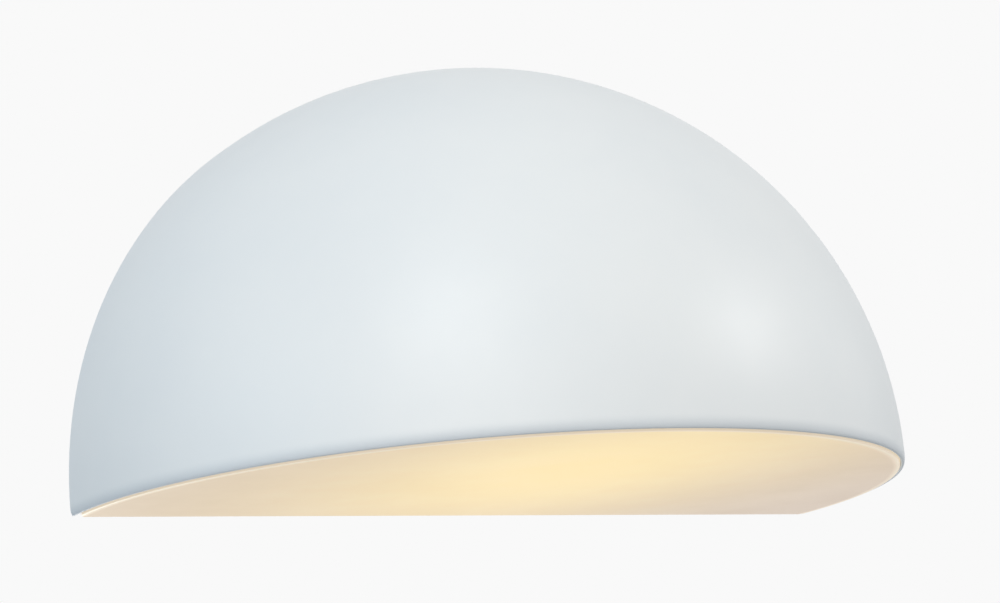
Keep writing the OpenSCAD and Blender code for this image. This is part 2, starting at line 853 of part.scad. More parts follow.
// Blown glass, open where the cap grips its neck
module lamp_glass_area(inset) {
    r = globe_r - inset;
    intersection() {
        union() {
            translate([0, globe_h]) circle(r);
            polygon([
                [0, cap_l - 3 - inset], [neck_r - inset, cap_l - 3 - inset], [neck_r - inset, cap_l + 1],
                [sqrt(r * r - pow(globe_h - neck_top, 2)), neck_top], [0, globe_h]
            ]);
        }
        square([globe_r + cut, lamp_l + cut]);
    }
}

module lamp_globe() {
    color("#EEF3F4", 0.35) on_lamp_axis(tip_d) rotate_extrude() difference() {
        lamp_glass_area(0);
        lamp_glass_area(glass_t);
    }
}

// Glass foot that carries the leads
module lamp_stem() {
    color("#E3EAEB", 0.5) on_lamp_axis(tip_d) rotate_extrude() polygon([
        [0, cap_l - 2], [9, cap_l - 2], [9, cap_l - 1], [4, cap_l + 3], [2.6, cap_l + 7],
        [2.4, stem_top - 1], [1.5, stem_top], [0, stem_top]
    ]);
}

// Centre post and the wires to both ends of each filament
module lamp_leads() {
    color("#C5C8C9") on_lamp_axis(tip_d) {
        translate([0, 0, stem_top]) cylinder(d = post_d, h = post_top - stem_top);
        for (a = [45 : 90 : 315]) rotate([0, 0, a]) {
            leaning_rod([lead_foot_r, filament_low[1] - lead_foot_r], filament_low, lead_d);
            leaning_rod([0, post_top - lead_d], filament_high, lead_d);
        }
    }
}

module lamp_filaments() {
    color("#F5C35A") on_lamp_axis(tip_d)
        for (a = [45 : 90 : 315]) rotate([0, 0, a])
            leaning_rod(filament_low, filament_high, filament_d);
}

shade();
diffuser();
clip_studs();
diffuser_clips();
clip_nuts();
back_plate();
cable_grommet();
lock_nut();
lock_washer();
lock_screw();
terminal_block();
terminal_tubes();
terminal_screws();
terminal_block_screws();
holder_bracket();
bracket_rivets();
holder_body();
holder_fixing_screws();
holder_fixing_nuts();
holder_shell();
holder_contact();
holder_terminals();
holder_terminal_screws();
earth_screw();
earth_washer();
earth_tag();
live_wire();
neutral_wire();
earth_wire();
bare_ends();
lamp_contact();
lamp_insulator();
lamp_cap();
lamp_driver();
lamp_globe();
lamp_stem();
lamp_leads();
lamp_filaments();
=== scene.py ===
"""Half-dome wall light, as it hangs: a pressed steel shade over an opal diffuser, slid over the
flange of a back plate that carries the lamp holder, the terminal block and the inner wiring."""
import math

import bmesh
import bpy
from mathutils import Matrix, Vector


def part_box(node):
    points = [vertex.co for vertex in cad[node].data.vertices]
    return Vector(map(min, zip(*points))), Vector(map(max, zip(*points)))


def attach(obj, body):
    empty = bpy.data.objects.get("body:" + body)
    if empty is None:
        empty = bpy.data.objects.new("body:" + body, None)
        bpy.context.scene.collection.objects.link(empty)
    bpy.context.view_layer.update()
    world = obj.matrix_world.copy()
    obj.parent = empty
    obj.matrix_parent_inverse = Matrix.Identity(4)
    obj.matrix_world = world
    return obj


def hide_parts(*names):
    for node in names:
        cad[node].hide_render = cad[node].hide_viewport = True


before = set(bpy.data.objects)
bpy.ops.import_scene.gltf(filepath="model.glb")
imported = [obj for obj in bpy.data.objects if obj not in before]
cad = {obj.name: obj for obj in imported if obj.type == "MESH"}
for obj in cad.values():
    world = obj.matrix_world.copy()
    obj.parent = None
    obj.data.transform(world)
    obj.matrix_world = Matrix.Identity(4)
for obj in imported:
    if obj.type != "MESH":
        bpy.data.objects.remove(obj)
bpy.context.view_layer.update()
# Sizes are written in mm, and MM turns them into the frame's metres.
MM = 0.001

# --- Back plate -------------------------------------------------------------------------------
# Half-moon pan pressed from 1 mm steel: a rim flat on the wall, a raised panel with a hollow
# behind it, and a flange round the arch. Its slots and holes are punched, and it is coated
# thinly in white powder. Its heights are taken from the shade's rim, which lies level.

rim_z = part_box("shade")[0].z / MM
skirt_h = 6
plate_steel = 1
plate_r = 143.5
plate_low = 1
notch_x, notch_top = 142.2, 2.6
flange_low, flange_depth = 7, 11
bend_r = 1.6
panel_w, panel_h, panel_corner = 122, 108, 7
panel_y = 68
panel_hollow = 4
slot_x, slot_y, slot_l, slot_w = 75, 75, 12, 5.5
relief = 0.4
grommet_hole_r, earth_hole_r, rivet_hole_r, ear_hole_r = 7, 2, 1.6, 1.5
rivet_in, ear_in = 3.2, 2.5
lock_hole_r, punch_h = 2.3, 6


def linear(hex_colour):
    """Linear RGBA of an sRGB colour written as #RRGGBB."""
    parts = [int(hex_colour[i:i + 2], 16) / 255 for i in (1, 3, 5)]
    return [c / 12.92 if c <= 0.04045 else ((c + 0.055) / 1.055) ** 2.4 for c in parts] + [1]


def add_node(material, kind, values=None, links=None, **settings):
    """Adds a node with its settings, the values of its sockets and the outputs that feed it."""
    node = material.node_tree.nodes.new(kind)
    for name, value in settings.items():
        setattr(node, name, value)
    for socket, value in (values or {}).items():
        node.inputs[socket].default_value = value
    for socket, source in (links or {}).items():
        material.node_tree.links.new(source, node.inputs[socket])
    return node


def finish(name, light, dark, patch, roughness, grain, depth, stretch=(1, 1, 1), worn=None, **surface):
    """A real finish. Its colour and roughness drift over patches of patch mm, a grain of grain mm
    stands depth mm proud, and worn is the colour of its rubbed edges. surface holds plain values
    of the shader's own sockets."""
    material = bpy.data.materials.new(name)
    material.use_nodes = True
    shader = material.node_tree.nodes["Principled BSDF"]
    for socket, value in surface.items():
        shader.inputs[socket.replace("_", " ")].default_value = value
    point = add_node(material, "ShaderNodeTexCoord").outputs["Object"]
    along = add_node(material, "ShaderNodeMapping", {"Scale": stretch},
                     {"Vector": point}).outputs["Vector"]
    patches = add_node(material, "ShaderNodeTexNoise",
                       {"Scale": 1 / (patch * MM), "Detail": 4, "Roughness": 0.6},
                       {"Vector": along}).outputs["Fac"]
    # The noise seldom leaves its middle range, so that range is spread out.
    drift = add_node(material, "ShaderNodeMapRange", {"From Min": 0.3, "From Max": 0.7},
                     {"Value": patches}).outputs["Result"]
    colour = add_node(material, "ShaderNodeMix", {6: linear(light), 7: linear(dark)},
                      {0: drift}, data_type="RGBA").outputs[2]
    if worn:
        # Pointiness is a half on a flat, and more on an edge that hands rub.
        crest = add_node(material, "ShaderNodeNewGeometry").outputs["Pointiness"]
        rubbed = add_node(material, "ShaderNodeMapRange", {"From Min": 0.54, "From Max": 0.66},
                          {"Value": crest}).outputs["Result"]
        colour = add_node(material, "ShaderNodeMix", {7: linear(worn)}, {0: rubbed, 6: colour},
                          data_type="RGBA").outputs[2]
    rough = add_node(material, "ShaderNodeMapRange",
                     {"To Min": roughness[0], "To Max": roughness[1]},
                     {"Value": drift}).outputs["Result"]
    height = add_node(material, "ShaderNodeTexNoise",
                      {"Scale": 1 / (grain * MM), "Detail": 2, "Roughness": 0.5},
                      {"Vector": along}).outputs["Fac"]
    bump = add_node(material, "ShaderNodeBump", {"Distance": depth * MM},
                    {"Height": height}).outputs["Normal"]
    for source, socket in ((colour, "Base Color"), (rough, "Roughness"), (bump, "Normal")):
        material.node_tree.links.new(source, shader.inputs[socket])
    return material


def arc(centre, radius, start, end, steps):
    """Points of an arc in mm, between two angles in degrees."""
    angles = [math.radians(start + (end - start) * i / steps) for i in range(steps + 1)]
    return [(centre[0] + radius * math.cos(a), centre[1] + radius * math.sin(a)) for a in angles]


def line_up(bm, points, closed=False):
    """A chain of edges through points in mm, closed into a loop or left open."""
    verts = [bm.verts.new(Vector(point) * MM) for point in points]
    pairs = list(zip(verts, verts[1:] + verts[:1])) if closed else list(zip(verts, verts[1:]))
    return verts + [bm.edges.new(pair) for pair in pairs]


def edges_of(found):
    """The edges among the things that an operator made."""
    return [item for item in found if isinstance(item, bmesh.types.BMEdge)]


def close_up(bm):
    """Merges the doubles of seams and poles and turns all faces outwards."""
    bmesh.ops.remove_doubles(bm, verts=bm.verts, dist=0.002 * MM)
    bmesh.ops.recalc_face_normals(bm, faces=bm.faces)


def fit(name, bm, body, material, slot, *stands_for, sharp=32):
    """Gives a modelled piece its finish and fixes it to its body of the frame."""
    close_up(bm)
    mesh = bpy.data.meshes.new(name)
    bm.to_mesh(mesh)
    bm.free()
    mesh.shade_smooth()
    mesh.set_sharp_from_angle(angle=math.radians(sharp))
    mesh.materials.append(material)
    piece = bpy.data.objects.new(name, mesh)
    bpy.context.scene.collection.objects.link(piece)
    piece.modifiers.new("flats stay flat", "WEIGHTED_NORMAL").keep_sharp = True
    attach(piece, body)
    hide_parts(*stands_for)
    return piece


def carve(bm, cutter, mode="DIFFERENCE"):
    """One solid cut out of another, or joined to it with the mode UNION."""
    solids = []
    for part in (bm, cutter):
        close_up(part)
        mesh = bpy.data.meshes.new("blank")
        part.to_mesh(mesh)
        part.free()
        solids.append(bpy.data.objects.new("blank", mesh))
        bpy.context.scene.collection.objects.link(solids[-1])
    tool = solids[0].modifiers.new("carve", "BOOLEAN")
    tool.object, tool.operation, tool.solver = solids[1], mode, "EXACT"
    carved = bmesh.new()
    carved.from_object(solids[0], bpy.context.evaluated_depsgraph_get())
    for mesh in [solid.data for solid in solids]:
        bpy.data.meshes.remove(mesh)
    return carved


def on_wall(x, z, distance):
    """Where what is drawn flat goes: its Y points up and its Z out into the room."""
    return (Matrix.Translation(Vector((x, -distance, z)) * MM)
            @ Matrix.Rotation(math.pi / 2, 4, "X"))


def panel_loop(grow, distance, steps=6):
    """The raised panel's outline, grown by some mm, at a distance from the wall."""
    half_w, half_h = panel_w / 2 - panel_corner, panel_h / 2 - panel_corner
    corners = enumerate(((1, 1), (-1, 1), (-1, -1), (1, -1)))
    return [(x, y, distance) for i, (sx, sy) in corners
            for x, y in arc((sx * half_w, panel_y + sy * half_h), panel_corner + grow,
                            90 * i, 90 * i + 90, steps)]


def middle_of(node):
    """The middle of a node's box, in mm."""
    low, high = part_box(node)
    return (low + high) / 2 / MM


def round_hole(x, z, distance, radius, steps):
    """The outline of a punched hole, with its middle at x and z."""
    ring = arc((x, z - rim_z), radius, 0, 360 - 360 / steps, steps - 1)
    return [(a, b, distance) for a, b in ring]


def pierced(bm, loops):
    """Fills a flat face between an outline and the holes in it."""
    bmesh.ops.triangle_fill(bm, edges=[e for loop in loops for e in loop], use_beauty=True)


# The side towards the wall is drawn first, and the steel then grows out from it.
pan = bmesh.new()
flange_start = math.degrees(math.asin((flange_low - skirt_h) / plate_r))
arch_steps = 120
arch = arc((0, skirt_h), plate_r - bend_r, flange_start, 180 - flange_start, arch_steps)
foot = [(-plate_r, notch_top), (-notch_x, notch_top), (-notch_x, plate_low),
        (notch_x, plate_low), (notch_x, notch_top), (plate_r, notch_top),
        (plate_r, flange_low - relief), (plate_r - bend_r, flange_low - relief / 2)]
outline = arch + [(bend_r - plate_r, flange_low - relief / 2), (-plate_r, flange_low - relief)] + foot
rim_loops = [edges_of(line_up(pan, [(x, y, 0) for x, y in outline], closed=True)),
             edges_of(line_up(pan, panel_loop(bend_r, 0), closed=True))]
for side in (-1, 1):
    ends = (slot_l - slot_w) / 2
    slot = (arc((side * slot_x + ends, slot_y), slot_w / 2, -90, 90, 10)
            + arc((side * slot_x - ends, slot_y), slot_w / 2, 90, 270, 10))
    rim_loops.append(edges_of(line_up(pan, [(x, y, 0) for x, y in slot], closed=True)))
pierced(pan, rim_loops)

wall_bend = [(bend_r * (1 - math.sin(math.radians(a))), bend_r * (1 - math.cos(math.radians(a))))
             for a in (22.5, 45, 67.5, 90)]
inner_bend = bend_r - plate_steel
face_bend = [(-inner_bend * (1 - math.cos(math.radians(a))),
              panel_hollow - inner_bend + inner_bend * math.sin(math.radians(a)))
             for a in (0, 30, 60, 90)]
below = rim_loops[1]
for grow, distance in wall_bend + face_bend:
    above = edges_of(line_up(pan, panel_loop(grow, distance), closed=True))
    bmesh.ops.bridge_loops(pan, edges=below + above)
    below = above
face_loops = [below]
for node, radius in (("cable_grommet", grommet_hole_r), ("earth_screw", earth_hole_r)):
    hole = round_hole(middle_of(node).x, middle_of(node).z, panel_hollow, radius, steps=32)
    face_loops.append(edges_of(line_up(pan, hole, closed=True)))
rivet_low, rivet_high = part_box("bracket_rivets")
ear_low, ear_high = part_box("terminal_block_screws")
small_holes = [(x, z, rivet_hole_r)
               for x in (rivet_low.x / MM + rivet_in, rivet_high.x / MM - rivet_in)
               for z in (rivet_low.z / MM + rivet_in, rivet_high.z / MM - rivet_in)]
small_holes += [(x, (ear_low.z + ear_high.z) / 2 / MM, ear_hole_r)
                for x in (ear_low.x / MM + ear_in, ear_high.x / MM - ear_in)]
for x, z, radius in small_holes:
    hole = round_hole(x, z, panel_hollow, radius, steps=24)
    face_loops.append(edges_of(line_up(pan, hole, closed=True)))
pierced(pan, face_loops)

flange_section = [(plate_r - bend_r + bend_r * math.sin(math.radians(a)),
                   bend_r * (1 - math.cos(math.radians(a)))) for a in (0, 22.5, 45, 67.5, 90)]
flange_section += [(plate_r, flange_depth * 0.5), (plate_r, flange_depth)]
start = math.radians(flange_start)
flange = line_up(pan, [(r * math.cos(start), skirt_h + r * math.sin(start), d)
                       for r, d in flange_section])
bmesh.ops.spin(pan, geom=flange, cent=(0, skirt_h * MM, 0), axis=(0, 0, 1),
               angle=math.pi - 2 * start, steps=arch_steps, use_merge=False)
close_up(pan)
up = next(f for f in pan.faces if f.calc_center_median().z < 0.1 * MM).normal.z
bmesh.ops.solidify(pan, geom=pan.faces, thickness=plate_steel * MM * (-1 if up > 0 else 1))
bmesh.ops.transform(pan, matrix=on_wall(0, rim_z, 0), verts=pan.verts)

lock_y = middle_of("lock_nut").y
punch = bmesh.new()
bmesh.ops.create_cone(punch, cap_ends=True, segments=32, radius1=lock_hole_r * MM,
                      radius2=lock_hole_r * MM, depth=punch_h * MM,
                      matrix=Matrix.Translation((0, lock_y * MM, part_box("lock_nut")[1].z)))
pan = carve(pan, punch)

# Thin powder coat: a low-sheen white that drifts a little in tone in patches.
plate_coat = finish("Thin white powder coat", "#E3E6E6", "#DBDFE0", patch=34,
                    roughness=(0.42, 0.55), grain=0.9, depth=0.02, Specular_IOR_Level=0.45)
fit("pressed_back_plate", pan, "wall_side", plate_coat, "plate_white", "back_plate")

# --- Cable grommet ----------------------------------------------------------------------------
# Moulded rubber ring, snapped into the hole of the raised panel by its groove, so that the
# supply cable from the wall isn't cut by the steel.

grommet_at = middle_of("cable_grommet")
bore_r, lip_r, groove_r = 4, 9, grommet_hole_r
lip_top, lip_edge = 3, 1.5


def turn(bm, section, steps=64, closed=True):
    """Turns a section of (radius, height) points in mm about local Z."""
    drawn = line_up(bm, [(r, 0, h) for r, h in section], closed)
    bmesh.ops.spin(bm, geom=drawn, cent=(0, 0, 0), axis=(0, 0, 1), angle=2 * math.pi,
                   steps=steps, use_merge=True)


def place(bm, matrix):
    """Sets a drawn piece down where it belongs."""
    bmesh.ops.transform(bm, matrix=matrix, verts=bm.verts)


def soften(bm, edge, sharp=35, segments=2):
    """Breaks every edge sharper than an angle, by edge mm."""
    crisp = [e for e in bm.edges if e.is_manifold and e.calc_face_angle() > math.radians(sharp)]
    bmesh.ops.bevel(bm, geom=crisp, offset=edge * MM, offset_type="OFFSET", segments=segments,
                    profile=0.5, affect="EDGES", clamp_overlap=True, material=-1)


ring = bmesh.new()
turn(ring, [(bore_r, -lip_top), (lip_r, -lip_top), (lip_r, -plate_steel / 2),
            (groove_r, -plate_steel / 2), (groove_r, plate_steel / 2), (lip_r, plate_steel / 2),
            (lip_r, lip_top - lip_edge + 0.1)]
     + arc((lip_r - lip_edge, lip_top - lip_edge), lip_edge, 10, 90, 5) + [(bore_r, lip_top)])
close_up(ring)
soften(ring, 0.45)
place(ring, on_wall(grommet_at.x, grommet_at.z, -grommet_at.y))

# Moulded rubber: dark grey, dull, with a bloom that lightens it in patches.
rubber = finish("Moulded EPDM rubber", "#3B3C3E", "#2C2D2F", patch=5, roughness=(0.62, 0.8),
                grain=0.5, depth=0.03, Specular_IOR_Level=0.35)
fit("rubber_cable_grommet", ring, "wall_side", rubber, "rubber", "cable_grommet")

# --- Weld nut ---------------------------------------------------------------------------------
# Hexagon nut welded under the top of the flange. It takes the locking screw.


def machined(name, node, body, material, slot, edge=0.2, sharp=35):
    """A turned, punched or moulded piece: its solid with every edge broken by edge mm."""
    bm = bmesh.new()
    bm.from_mesh(cad[node].data)
    bmesh.ops.remove_doubles(bm, verts=bm.verts, dist=0.001 * MM)
    bmesh.ops.dissolve_limit(bm, angle_limit=math.radians(0.5), verts=bm.verts, edges=bm.edges)
    soften(bm, edge, sharp)
    return fit(name, bm, body, material, slot, node)


# Zinc-plated steel: bright and slightly blue, with yellowish patches of passivation and fine
# drawing marks.
zinc = finish("Bright zinc-plated steel", "#C9CCCF", "#B3B2AA", patch=2.5, roughness=(0.24, 0.42),
              grain=0.35, depth=0.008, stretch=(1, 1, 2.5), worn="#D9DBDD", Metallic=1.0)
machined("weld_nut", "lock_nut", "wall_side", zinc, "zinc", edge=0.35)

# --- Terminal block ---------------------------------------------------------------------------
# Three poles moulded in one strip of polyamide, with a brass tube and two wire screws in each.
# Two screws through its ears fix it to the raised panel.

# Natural polyamide: milky, slightly waxy, with faint flow marks from the mould.
polyamide = finish("Natural polyamide", "#ECEAE1", "#DFDCCF", patch=7, roughness=(0.38, 0.5),
                   grain=0.6, depth=0.012, Subsurface_Weight=0.12,
                   Subsurface_Radius=(0.003, 0.002, 0.0012))
# Drawn brass: warm yellow, browned in patches by handling, drawn along its length.
brass = finish("Drawn brass", "#D3AE62", "#A98443", patch=3, roughness=(0.22, 0.4), grain=0.3,
               depth=0.006, stretch=(1, 1, 0.3), worn="#E4C583", Metallic=1.0)
machined("terminal_strip", "terminal_block", "wall_side", polyamide, "polyamide", edge=0.3)
machined("pole_tubes", "terminal_tubes", "wall_side", brass, "brass", edge=0.12)
machined("pole_screws", "terminal_screws", "wall_side", zinc, "zinc", edge=0.12)
machined("strip_screws", "terminal_block_screws", "wall_side", zinc, "zinc", edge=0.15)

# --- Holder bracket ---------------------------------------------------------------------------
# Hat section bent from 1.5 mm galvanised strip, riveted to the raised panel. The holder's two
# screws pass through its seat.

# Galvanised strip: pale grey with the soft spangle of hot zinc.
galvanised = finish("Galvanised steel strip", "#BFC3C5", "#A5AAAD", patch=4, roughness=(0.38, 0.55),
                    grain=1.2, depth=0.01, worn="#D0D3D4", Metallic=0.9)
machined("hat_bracket", "holder_bracket", "wall_side", galvanised, "zinc", edge=0.35)
machined("pop_rivets", "bracket_rivets", "wall_side", zinc, "zinc", edge=0.25)

# --- Lamp holder ------------------------------------------------------------------------------
# Glazed porcelain body with the screw shell, the sprung centre contact and two side terminals
# in its pockets. Two screws with nuts behind the bracket hold it.

holder_z = middle_of("holder_body").z
seat = -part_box("holder_body")[1].y / MM
holder_floor = 8
thread_pitch, thread_depth = 3.62, 0.8
shell_r, shell_t, shell_low, shell_high = 14.1, 0.35, 5, 28


def rolled_thread(bm, crest, depth, pitch, low, high, steps=48, points=8):
    """A helical screw surface between two heights in mm, cut square at both ends."""
    section = [(crest - depth / 2 * (1 - math.cos(2 * math.pi * k / points)),
                low - pitch + pitch * k / points) for k in range(points + 1)]
    drawn = line_up(bm, [(r, 0, h) for r, h in section])
    turns = math.ceil((high - low) / pitch) + 1
    bmesh.ops.spin(bm, geom=drawn, cent=(0, 0, 0), axis=(0, 0, 1), dvec=(0, 0, pitch / steps * MM),
                   angle=2 * math.pi * turns, steps=steps * turns, use_merge=False)
    bmesh.ops.remove_doubles(bm, verts=bm.verts, dist=0.004 * MM)
    for height, way in ((low, -1), (high, 1)):
        bmesh.ops.bisect_plane(bm, geom=bm.verts[:] + bm.edges[:] + bm.faces[:],
                               plane_co=(0, 0, height * MM), plane_no=(0, 0, way),
                               clear_outer=True)


def open_edges(bm, height):
    """The open edges of a sheet at a height in mm."""
    return [e for e in bm.edges if e.is_boundary
            and all(abs(v.co.z / MM - height) < 0.02 for v in e.verts)]


# Glazed porcelain: cream white and glassy, with a faint crawl in the glaze and iron specks.
porcelain = finish("Glazed porcelain", "#F4F1E8", "#E9E4D6", patch=9, roughness=(0.08, 0.16),
                   grain=2.2, depth=0.03, Coat_Weight=0.6, Coat_Roughness=0.05,
                   Specular_IOR_Level=0.55)
machined("porcelain_holder", "holder_body", "wall_side", porcelain, "porcelain", edge=0.55)

shell = bmesh.new()
rolled_thread(shell, shell_r, thread_depth, thread_pitch, shell_low, shell_high)
close_up(shell)
outward = shell.faces[0].normal.dot(shell.faces[0].calc_center_median() * Vector((1, 1, 0))) > 0
bmesh.ops.solidify(shell, geom=shell.faces, thickness=shell_t * MM * (-1 if outward else 1))
place(shell, on_wall(0, holder_z, seat + holder_floor))
fit("threaded_shell", shell, "wall_side", brass, "brass", "holder_shell")

machined("sprung_contact", "holder_contact", "wall_side", brass, "brass", edge=0.12)
machined("side_terminals", "holder_terminals", "wall_side", brass, "brass", edge=0.25)
machined("side_terminal_screws", "holder_terminal_screws", "wall_side", zinc, "zinc", edge=0.12)
machined("holder_screws", "holder_fixing_screws", "wall_side", zinc, "zinc", edge=0.2)
machined("holder_nuts", "holder_fixing_nuts", "wall_side", zinc, "zinc", edge=0.35)

# --- Earth point ------------------------------------------------------------------------------
# Screw, washer and crimped ring terminal that earth the steel plate.

machined("earth_plate_screw", "earth_screw", "wall_side", zinc, "zinc", edge=0.2)
machined("earth_plate_washer", "earth_washer", "wall_side", zinc, "zinc", edge=0.08)
machined("crimped_ring", "earth_tag", "wall_side", brass, "brass", edge=0.2)

# --- Inner wires ------------------------------------------------------------------------------
# Single insulated wires from the terminal strip to the holder's side terminals and to the earth
# point, held by their screws. Their ends are stripped.

wire_d, wire_sides = 2.4, 16
live_route = [(-42, -11.5, 23), (-42, -11.6, 12), (-43, -12.5, 0), (-41, -14.5, -11),
              (-35, -16.6, -17), (-26.8, -17, -18)]
neutral_route = [(-33, -11.5, 23), (-32, -11.5, 18), (-26, -11.6, 15.5), (-14, -11.8, 15),
                 (2, -12, 15), (18, -12.2, 13.5), (31, -13, 5), (38, -14.5, -6),
                 (37, -16.4, -15), (33, -17, -18), (26.8, -17, -18)]
earth_route = [(-51, -11.5, 23), (-51.5, -11.5, 12), (-53.5, -11, 0), (-51, -8.2, -9.5),
               (-50, -7.6, -12.7), (-50, -7.6, -14.7)]


def smooth_route(points, steps=8):
    """The smooth curve that a bent wire takes through its points."""
    p = [Vector(point) for point in [points[0]] + points + [points[-1]]]
    curve = []
    for a, b, c, d in zip(p, p[1:], p[2:], p[3:]):
        for t in [i / steps for i in range(steps)]:
            curve.append(0.5 * (2 * b + (c - a) * t + (2 * a - 5 * b + 4 * c - d) * t * t
                                + (3 * b - a - 3 * c + d) * t ** 3))
    return curve + [p[-1]]


def insulated_wire(name, node, route, material, slot):
    """A round wire along a route, with the angle round it kept as an attribute for stripes."""
    path = smooth_route(route)
    bm = bmesh.new()
    around = bm.verts.layers.float.new("around")
    # The stripe starts towards the room, a little off the wire's own direction.
    side = Vector((0, -1, 0.2))
    rings = []
    for i, point in enumerate(path):
        along = (path[min(i + 1, len(path) - 1)] - path[max(i - 1, 0)]).normalized()
        side = (side - side.dot(along) * along).normalized()
        turned = Matrix((side, along.cross(side), along)).transposed().to_4x4()
        made = bmesh.ops.create_circle(bm, segments=wire_sides, radius=wire_d / 2 * MM,
                                       matrix=Matrix.Translation(point * MM) @ turned)
        for v in made["verts"]:
            out = v.co - point * MM
            v[around] = abs(math.atan2(out.dot(along.cross(side)), out.dot(side))) / math.pi
        rings.append([e for e in bm.edges if all(v in made["verts"] for v in e.verts)])
    for lower, upper in zip(rings, rings[1:]):
        bmesh.ops.bridge_loops(bm, edges=lower + upper)
    bmesh.ops.holes_fill(bm, edges=rings[0] + rings[-1])
    fit(name, bm, "wall_side", material, slot, node)


# Soft PVC insulation: an even colour with a waxy sheen and slight die lines.
brown_pvc = finish("Brown PVC insulation", "#6E452A", "#5C3820", patch=6, roughness=(0.38, 0.5),
                   grain=0.4, depth=0.01)
blue_pvc = finish("Blue PVC insulation", "#2F66AA", "#275693", patch=6, roughness=(0.38, 0.5),
                  grain=0.4, depth=0.01)
earth_pvc = finish("Green and yellow PVC insulation", "#3F8F4A", "#367F41", patch=6,
                   roughness=(0.38, 0.5), grain=0.4, depth=0.01)
shader = earth_pvc.node_tree.nodes["Principled BSDF"]
green = shader.inputs["Base Color"].links[0].from_socket
side_of_wire = add_node(earth_pvc, "ShaderNodeAttribute", attribute_name="around").outputs["Fac"]
stripe = add_node(earth_pvc, "ShaderNodeMapRange", {"From Min": 0.44, "From Max": 0.46},
                  {"Value": side_of_wire}).outputs["Result"]
striped = add_node(earth_pvc, "ShaderNodeMix", {7: linear("#E3C93B")}, {0: stripe, 6: green},
                   data_type="RGBA").outputs[2]
earth_pvc.node_tree.links.new(striped, shader.inputs["Base Color"])
insulated_wire("brown_live_wire", "live_wire", live_route, brown_pvc, "brown_insulation")
insulated_wire("blue_neutral_wire", "neutral_wire", neutral_route, blue_pvc, "blue_insulation")
insulated_wire("striped_earth_wire", "earth_wire", earth_route, earth_pvc,
               "green_yellow_insulation")

# Bare copper: pinkish where it is fresh from the stripper, browner where air has reached it.
copper = finish("Bare copper", "#D68C5E", "#B36A41", patch=1.5, roughness=(0.25, 0.4), grain=0.3,
                depth=0.006, Metallic=1.0)
machined("stripped_ends", "bare_ends", "wall_side", copper, "copper", edge=0.15)

# --- Lamp cap ---------------------------------------------------------------------------------
# Rolled nickel-plated cap with its screw thread, a black glass insulator under it and a
# soldered centre contact. A small rectifier board stands inside.

tip = -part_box("lamp_contact")[1].y / MM
insulator_top, foot_top = 4.6, 4.9
cap_r, cap_t, thread_low, thread_high = 13.1, 0.4, 5.4, 21.7
collar_r, collar_low, collar_high = 13.2, 22.4, 27
on_lamp = on_wall(0, holder_z, tip)

cap = bmesh.new()
rolled_thread(cap, cap_r, thread_depth, thread_pitch, thread_low, thread_high)
turn(cap, [(9.4, insulator_top + 0.25), (9.8, insulator_top), (11.2, insulator_top),
           (11.8, foot_top)], 48, closed=False)
turn(cap, [(collar_r, collar_low), (collar_r, collar_high - 0.5), (collar_r - 0.1, collar_high - 0.2),
           (collar_r - 0.3, collar_high)], 48, closed=False)
close_up(cap)
for lower, upper in ((foot_top, thread_low), (thread_high, collar_low)):
    bmesh.ops.bridge_loops(cap, edges=open_edges(cap, lower) + open_edges(cap, upper))
close_up(cap)
flank = max(cap.faces, key=lambda f: f.calc_center_median().z)
outward = flank.normal.dot(flank.calc_center_median() * Vector((1, 1, 0))) > 0
bmesh.ops.solidify(cap, geom=cap.faces, thickness=cap_t * MM * (1 if outward else -1))
place(cap, on_lamp)

# Nickel plate: warm silver, bright, with fine scuffs round the thread.
nickel = finish("Nickel-plated brass", "#CFCDC8", "#B7B4AC", patch=3, roughness=(0.16, 0.34),
                grain=0.25, depth=0.005, stretch=(1, 3, 1), worn="#E0DED9", Metallic=1.0)
fit("screw_cap", cap, "lamp", nickel, "nickel", "lamp_cap")

# Black glass: poured round the contact, glossy, with tiny bubbles on its face.
black_glass = finish("Black insulating glass", "#1E1F22", "#2B2C30", patch=2, roughness=(0.1, 0.25),
                     grain=0.8, depth=0.04, Specular_IOR_Level=0.6)
collar = bmesh.new()
turn(collar, [(0, 1), (4.4, 1), (6, 1.5), (9.8, 3.6), (11.2, 4.3), (11.3, 4.55), (0, 4.55)],
     48, closed=False)
place(collar, on_lamp)
fit("glass_insulator", collar, "lamp_tip", black_glass, "black_glass", "lamp_insulator")

# Solder dome on the contact plate.
solder = bmesh.new()
turn(solder, [(0, 0), (1.6, 0.05), (2.8, 0.25), (3.4, 0.6), (3.9, 0.62), (4.3, 0.85), (4.3, 1),
              (0, 1)], 40, closed=False)
place(solder, on_lamp)
fit("soldered_contact", solder, "lamp_tip", nickel, "nickel", "lamp_contact")

# Glass-fibre board under green solder mask.
board = finish("Green solder mask", "#3E7C4B", "#2F6A3D", patch=3, roughness=(0.3, 0.45), grain=0.6,
               depth=0.02)
machined("rectifier_board", "lamp_driver", "lamp", board, "circuit_board", edge=0.1)

# --- Glass of the lamp ------------------------------------------------------------------------
# Blown globe drawn in to a neck, cemented into the cap, and a pressed glass stem that carries
# the leads and the four filaments.

globe_r, globe_h = 22.5, 49.5
neck_r, neck_low, neck_fillet = 12.5, 24, 12
glass_t = 0.8
fillet_x = neck_r + neck_fillet
fillet_h = globe_h - math.sqrt((globe_r + neck_fillet) ** 2 - fillet_x ** 2)
joint = math.degrees(math.atan2(fillet_h - globe_h, fillet_x))


def globe_side(inset):
    """One side of the globe, from the neck up to the top."""
    fillet = neck_fillet + inset
    return ([(neck_r - inset, neck_low)]
            + arc((fillet_x, fillet_h), fillet, 180, 180 + joint, 12)
            + arc((0, globe_h), globe_r - inset, joint, 90, 40)[1:])


